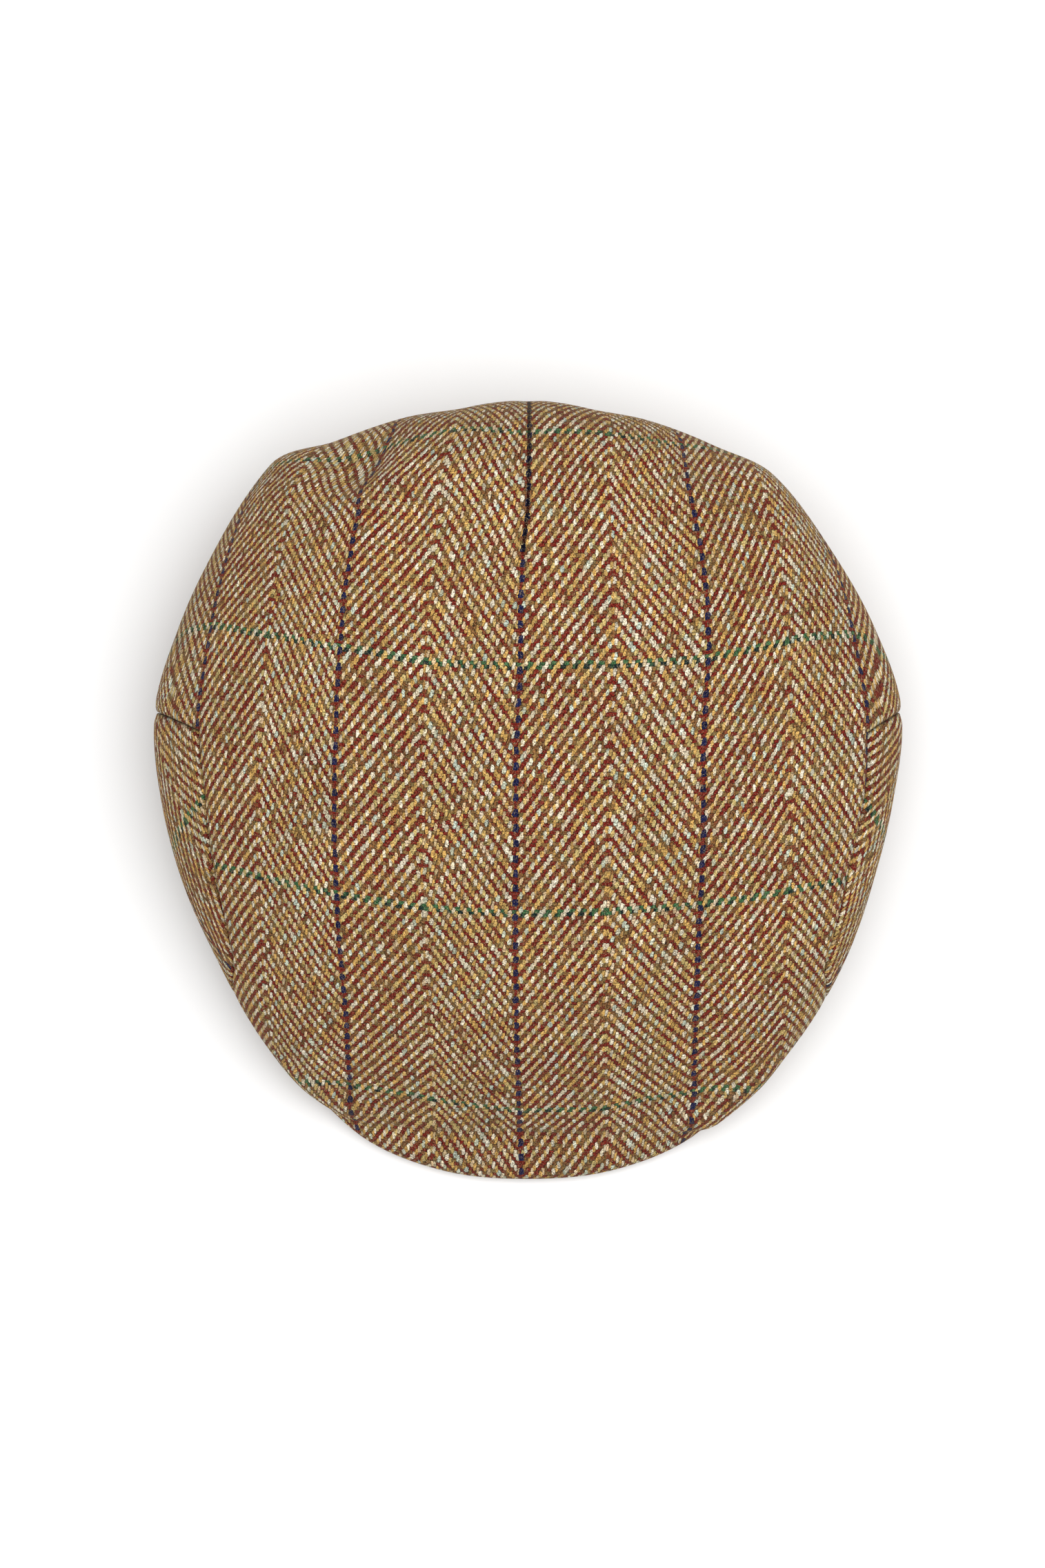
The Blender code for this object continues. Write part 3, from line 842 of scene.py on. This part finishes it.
def pick_floats(yarns):
    """Height and colour of the pick, which floats over two ends and dives under the next two."""
    place, phase = twill_phase(yarns, yarns.end, yarns.pick)
    falling = yarns.sum("GREATER_THAN", place, herringbone_turn)
    forward = yarns.blend(falling, yarns.in_end, yarns.sum("SUBTRACT", 1.0, yarns.in_end))
    along = yarns.sum("WRAP", yarns.sum("SUBTRACT", yarns.sum("ADD", phase, forward), 3.0), 2.0, -2.0)
    across = yarns.sum("MULTIPLY_ADD", yarns.in_pick, 2.0, -1.0)
    stand = oval(yarns, across, along, pick_width, pick_length)

    # maroon and brown by turns and in patches, all maroon beside the navy, and green in the overcheck
    diagonal = yarns.sum("FLOOR", yarns.sum("MULTIPLY", yarns.sum("ADD", yarns.end, yarns.pick), 0.25))
    luck = yarns.dice(yarns.pick, diagonal)
    patch = yarns.ramp(yarns.noise(yarns.flat, 0.11), 0.35, 0.65, -0.16, 0.16)
    brownness = yarns.sum("ADD", yarns.sum("MULTIPLY_ADD", yarns.odd(yarns.pick), 0.30, luck), patch)
    brown = yarns.mix(yarns.dice(yarns.pick, yarns.end), rust, olive)
    colour = yarns.mix(yarns.ramp(brownness, 0.56, 1.06), maroon, brown)
    colour = yarns.mix(yarns.sum("LESS_THAN", place, 0.5), colour, maroon)
    check_pick = yarns.sum("FLOORED_MODULO", yarns.pick, float(repeat))
    greenness = yarns.sum("MULTIPLY_ADD", check_pick, 0.5, yarns.dice(yarns.end, yarns.pick))
    leaf = yarns.mix(yarns.ramp(greenness, 0.45, 0.85), bottle, green)
    return stand, yarns.mix(yarns.sum("LESS_THAN", check_pick, green_count), colour, leaf)


def end_floats(yarns):
    """Highest float of three neighbouring ends: its height, its end and pick, and the place on it."""
    fray = yarns.sum("SUBTRACT", yarns.noise(yarns.stretched(1.0, 1.4, fray_noise), 1.5), 0.5)
    best = [nothing_yet, yarns.end, yarns.pick, 0.0, 0.0]
    for beside in (-1, 0, 1):
        near = yarns.sum("ADD", yarns.end, float(beside))
        place, phase = twill_phase(yarns, near, yarns.pick)
        pick = yarns.sum("ADD", yarns.pick, phase)
        luck = yarns.dice(near, pick)
        along = yarns.sum("SUBTRACT", yarns.in_pick, phase)
        across = yarns.sum("MULTIPLY_ADD", yarns.in_end, 2.0, -1.0 - 2.0 * beside)
        across = yarns.sum("MULTIPLY_ADD", along, float_lean, across)
        across = yarns.sum("ADD", across, yarns.ramp(luck, 0.0, 1.0, -float_shift, float_shift))
        across = yarns.sum("MULTIPLY_ADD", fray, float_fray, across)
        is_navy = yarns.sum("LESS_THAN", place, 0.5)
        width = yarns.sum("MULTIPLY_ADD", is_navy, navy_width, yarns.ramp(luck, 0.0, 1.0, *float_width))
        length = yarns.sum("MULTIPLY_ADD", is_navy, navy_length, yarns.ramp(luck, 0.0, 1.0, *float_length))
        stand = oval(yarns, across, along, width, length)
        stand = yarns.sum("MULTIPLY_ADD", yarns.sum("GREATER_THAN", phase, 1.5), under_cloth, stand)
        bold = yarns.sum("MULTIPLY", yarns.sum("MAXIMUM", stand, 0.0), navy_stand)
        stand = yarns.sum("MULTIPLY_ADD", is_navy, bold, stand)
        better = yarns.sum("GREATER_THAN", stand, best[0])
        best = [yarns.blend(better, old, new) for old, new in zip(best, (stand, near, pick, across, along))]
    return best


def end_colours(yarns, end, pick):
    """Colour of an end's float: pale and gold by turns, with a fleck of another yarn here and there."""
    luck = yarns.dice(end, pick)
    own_luck = yarns.dice(end, 3.0)
    swapped = yarns.sum("GREATER_THAN", yarns.dice(pick, yarns.sum("ADD", end, 0.5)), 0.86)
    pale = yarns.mix(yarns.ramp(luck, 0.80, 0.92), cream, sage)
    pale = yarns.mix(yarns.ramp(luck, 0.42, 0.10), pale, blush)
    pale = yarns.mix(yarns.ramp(own_luck, 0.0, 1.0, 0.0, 0.35), pale, straw)
    gold = yarns.mix(yarns.ramp(luck, 0.55, 0.95), ochre, straw)
    gold = yarns.mix(yarns.ramp(luck, 0.16, 0.04), gold, rust)
    colour = yarns.mix(yarns.odd(yarns.sum("ADD", end, swapped)), pale, gold)
    is_navy = yarns.sum("LESS_THAN", yarns.sum("FLOORED_MODULO", end, float(repeat)), 0.5)
    return yarns.mix(is_navy, colour, navy)


def painted_fold_shade(yarns):
    """Where shade is painted, 1 in the side seams' folds and along the centre-back dart, where it takes in
    the middle navy end.
    """
    fold = yarns.add("Attribute", attribute_name="painted_seam_shade")
    # painted shade along the centre-back dart's seam line, over the middle navy end, from where the dart
    # starts
    beside_dart = yarns.ramp(yarns.away(yarns.straight_u, navy_end), 0.40, 1.00, 1.0, 0.0)
    behind_start = yarns.ramp(yarns.straight_v, dart_start, dart_start + dart_closing)
    return yarns.sum("MAXIMUM", fold.outputs["Fac"], yarns.sum("MULTIPLY", beside_dart, behind_start))


def herringbone_tweed(name):
    """Two-and-two herringbone that turns every 32 ends, with one navy end and two green picks in 64."""
    yarns = Yarns(name)
    yarns.lay_threads()
    pick_stand, pick_colour = pick_floats(yarns)
    stand, end, pick, across, along = end_floats(yarns)
    # painted shade in the gaps beside the ends' floats, darkest right up against them
    painted_gap_shade = yarns.ramp(stand, -0.9, 0.05, 1.05, 0.28)
    stand = yarns.sum("MINIMUM", yarns.sum("MAXIMUM", stand, 0.0), 1.0)
    end_shows = yarns.ramp(stand, 0.02, 0.22)

    # tone of the ends: streaks of twisted fibres along each float, and painted shade that darkens each float
    # towards its edge
    across, along = yarns.sum("MULTIPLY", across, 1.5), yarns.sum("MULTIPLY_ADD", along, 0.7, end)
    streaks = yarns.noise(yarns.vector(across, along, pick), 1.7)
    end_shade = yarns.product(yarns.ramp(streaks, 0.28, 0.72, 0.66, 1.22),
                              yarns.ramp(stand, 0.0, 0.60, 0.30, 1.08),
                              yarns.ramp(yarns.dice(pick, end), 0.0, 1.0, 0.74, 1.14))

    # tone of the picks, with painted shade where they dive under the ends and in the gaps beside the floats
    fibres = yarns.noise(yarns.stretched(0.9, 2.2, fibre_noise), 1.7)
    pick_shade = yarns.product(yarns.ramp(fibres, 0.3, 0.7, 0.60, 1.35),
                               yarns.ramp(pick_stand, 0.0, 0.6, 0.22, 1.20),
                               painted_gap_shade)

    # both are speckled with fine fibres and a little uneven over the whole cloth, and shade is painted in the
    # seams' folds and along the dart
    speckle = yarns.noise(yarns.stretched(1.0, 1.3, speckle_noise), 2.1, 1.0)
    shade = yarns.product(yarns.blend(end_shows, pick_shade, end_shade),
                          yarns.ramp(speckle, 0.34, 0.66, 0.32, 1.58),
                          yarns.ramp(yarns.noise(yarns.flat, 0.035), 0.3, 0.7, 0.92, 1.08),
                          yarns.ramp(painted_fold_shade(yarns), 0.0, 1.0, 1.0, fold_shade))
    dyed = yarns.add("HueSaturation")
    yarns.put(dyed.inputs["Value"], shade)
    yarns.put(dyed.inputs["Color"], yarns.mix(end_shows, pick_colour, end_colours(yarns, end, pick)))

    # stray hairs across the cloth, and a soft dry finish
    tangle = yarns.noise(yarns.vector(yarns.straight_u, yarns.straight_v, hair_noise), 0.9)
    hair = yarns.ramp(yarns.away(tangle, 0.5), 0.004, 0.012, 0.55, 0.0)
    yarns.put(yarns.shader.inputs["Base Color"], yarns.mix(hair, dyed.outputs[0], hair_colour))
    for finish, value in (("Roughness", 0.92), ("Specular IOR Level", 0.06), ("Sheen Weight", 0.08),
                          ("Sheen Roughness", 0.5), ("Sheen Tint", sheen_tint)):
        yarns.shader.inputs[finish].default_value = value

    # relief of the threads
    relief = yarns.sum("MAXIMUM", yarns.sum("MULTIPLY", pick_stand, 0.45), yarns.sum("POWER", stand, 0.7))
    for detail, height in ((speckle, 0.6), (streaks, 0.35), (hair, 0.3)):
        relief = yarns.sum("MULTIPLY_ADD", detail, height, relief)
    bump = yarns.add("Bump")
    bump.inputs["Strength"].default_value = 0.8
    bump.inputs["Distance"].default_value = 0.0003
    yarns.put(bump.inputs["Height"], relief)
    yarns.put(yarns.shader.inputs["Normal"], bump.outputs[0])
    return yarns.material


tweed = herringbone_tweed("herringbone_tweed")


def dress(piece, node):
    """Gives a piece its cloth, hides the solid it stands for, and hangs it under the root body."""
    piece.data.materials.append(tweed)
    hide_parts(node)
    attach(piece, "root")


dress(top_cloth, "top_panel")

# Side panels: two wedges of the same tweed between the top panel and the rim, from the temple to the
# ear. They are cut on the slant, so that their herringbone meets the crown's at an angle at the seam.
side_end_pitch = 0.00074
side_pick_pitch = 0.00138
# slant of the ends in degrees, up to where it starts to change and with each degree after that, and the
# share of the fold's radius at which the way round is measured, with its steps
side_slant_front = 72.0
side_slant_rise = -0.35
slant_start = 60.0
side_reach = 0.92
side_steps = 40
# rows of points, and the room left at the rear corner and at the tip
side_rows = 46
side_corner_room = 1.5
side_tip_gaps = 4
# azimuth where the panel's herringbone turns at the seam, and where its green picks start
side_marks = {-1: (59.8, 70.3), 1: (59.3, 70.3)}


def side_slant(azimuth):
    """Angle between the panel's ends and the way straight down; it shrinks towards the ear."""
    return radians(side_slant_front + side_slant_rise * max(abs(azimuth) - slant_start, 0))


@lru_cache(maxsize=None)
def side_travel(azimuth):
    """Distances across the ends and along them on the way round the panel from an azimuth of 0."""
    turns = even(0, abs(azimuth), side_steps)[1:]
    step = radians(abs(azimuth)) / len(turns) * side_reach
    across = sum(fold_place(turn).x * step * cos(side_slant(turn)) for turn in turns)
    along = sum(fold_place(turn).x * step * sin(side_slant(turn)) for turn in turns)
    return across, along


def side_lie(azimuth, distance):
    """Distances across the ends and along them at a place of a side panel."""
    across, along = side_travel(azimuth)
    down = distance - lengths_along(azimuth)[samples]
    slant = side_slant(azimuth)
    return down * sin(slant) - across, down * cos(slant) + along


def side_threads(azimuth, distance):
    """Ends and picks at a place of a side panel; both are counted slantwise to the seam."""
    side = -1 if azimuth < 0 else 1
    turn_place, green_place = [side_lie(side * mark, seam_distance(side * mark)) for mark in side_marks[side]]
    across, along = side_lie(azimuth, distance)
    ends = (across - turn_place[0]) / side_end_pitch + repeat / 2
    return side * ends, (along - green_place[1]) / side_pick_pitch


def side_off_edge(azimuth, distance):
    """Distance from a place of a side panel to its nearest cut edge."""
    below = distance - seam_distance(azimuth)
    return max(min(below, -behind_corner(azimuth), lengths_along(azimuth)[-1] - distance), 0.0)


def build_side_panel(name, side):
    """Wedge of cloth between the side seam and the lower edge, from a point at the temple to the ear."""
    turns = along_seam(side_corner_room)[1:] + near_corner(-1, gap_angle)[::-1]
    azimuths = [side * turn for turn in turns]
    panel = ClothPanel(name, side_threads)
    tip_azimuth = side * (seam_tip + side_tip_gaps * gap_angle)
    tip = panel.add(tip_azimuth, lengths_along(tip_azimuth)[-1], 0.0)
    columns = [[tip] * (side_rows + len(close_rows))]
    for azimuth in azimuths:
        start = seam_distance(azimuth) + seam_half_gap(azimuth)
        end = lengths_along(azimuth)[-1]
        reach = (end - start) / close_part
        last = len(close_rows) - 1
        rows = [start + min(row, reach * (last - index) / last) for index, row in enumerate(close_rows)][::-1]
        rows = rows[:-1] + with_close_rows(rows[-1], end, side_rows)
        columns.append([panel.add(azimuth, row, side_off_edge(azimuth, row)) for row in rows])
    columns = columns[::side]
    for low, high in zip(columns, columns[1:]):
        join(panel.surface, low, high)
    return panel.finish()


for name, node, side in (("side_cloth_left", "side_panel_left", -1),
                         ("side_cloth_right", "side_panel_right", 1)):
    side_cloth = build_side_panel(name, side)
    dress(side_cloth, node)

# Peak: a stiff board with a lower cloth, under the top panel's front. The lower cloth is turned round
# the board's edge and lies close to the top cloth all along it.
peak_board = 0.0025
peak_board_wrap = 0.93
# rows and columns of points, and the rounding of edges sharper than an angle in degrees
peak_rows = 26
peak_columns = 96
peak_rounding = 0.0009
peak_rounding_steps = 4
sharp_angle = 50


def build_peak():
    """Board and lower cloth, from the forehead to the edge, with all edges rounded."""
    surface = bmesh.new()
    columns = []
    for azimuth in even(-peak_wrap * peak_board_wrap, peak_wrap * peak_board_wrap, peak_columns):
        end = lengths_along(azimuth)[-1]
        front = cloth_point(azimuth, end) - cloth_outward(azimuth, end) * (cloth + seam_gap)
        back = turned(azimuth, Vector((rim_radius(azimuth), rim_height(azimuth) + peak_board)))
        columns.append([surface.verts.new(back.lerp(front, row / peak_rows)) for row in range(peak_rows + 1)])
    for low, high in zip(columns, columns[1:]):
        join(surface, low, high)
    peak = finished("peak_board", surface, lambda point: (point.co.x / end_pitch, point.co.y / pick_pitch))
    board = peak.modifiers.new("board", "SOLIDIFY")
    board.thickness = peak_board
    board.offset = -1.0
    board.use_even_offset = True
    rounding_off = peak.modifiers.new("rounding", "BEVEL")
    rounding_off.width = peak_rounding
    rounding_off.segments = peak_rounding_steps
    rounding_off.limit_method = "ANGLE"
    rounding_off.angle_limit = radians(sharp_angle)
    return peak


dress(build_peak(), "peak")

# Table: a plain pale surface under the cap, lit by a broad soft light above it and a weaker one
# from the left, in a bright room.
table_side = 10.0
table_drop = 0.0002
table_white = (0.92, 0.92, 0.92, 1.0)
table_roughness = 0.8
cap_middle = Vector((0, 0, 0.04))
room_white = (1.0, 1.0, 1.0, 1.0)
room_strength = 0.34

bpy.ops.mesh.primitive_plane_add(size=table_side, location=(0, 0, -table_drop))
table = bpy.context.object
table.name = "table"
table_paint = bpy.data.materials.new("pale_table")
table_paint.use_nodes = True
table_shader = table_paint.node_tree.nodes["Principled BSDF"]
table_shader.inputs["Base Color"].default_value = table_white
table_shader.inputs["Roughness"].default_value = table_roughness
table.data.materials.append(table_paint)


def add_soft_light(name, place, size, power):
    """Square area light that looks at the cap."""
    data = bpy.data.lights.new(name, "AREA")
    data.size = size
    data.energy = power
    light = new_object(name, data)
    light.location = place
    light.rotation_euler = (cap_middle - Vector(place)).to_track_quat("-Z", "Y").to_euler()


add_soft_light("window_light", place=(0.24, 0.06, 1.15), size=1.35, power=17.3)
add_soft_light("fill_light", place=(-1.3, 0.0, 1.4), size=1.4, power=8.0)
room = bpy.data.worlds.new("room")
room.use_nodes = True
background = room.node_tree.nodes["Background"]
background.inputs["Color"].default_value = room_white
background.inputs["Strength"].default_value = room_strength
bpy.context.scene.world = room
bpy.context.scene.view_settings.view_transform = "Standard"

# Camera: straight above the cap, with the peak at the lower edge of the picture. Its long lens and its
# height show the cap as large as the photo does.
camera_data = bpy.data.cameras.new("camera")
camera_data.lens = 110.0
camera_data.sensor_width = 36.0
camera_data.clip_start = 0.01
camera = new_object("camera", camera_data)
camera.location = (-0.0016, 0.0041, 1.65)
bpy.context.scene.camera = camera
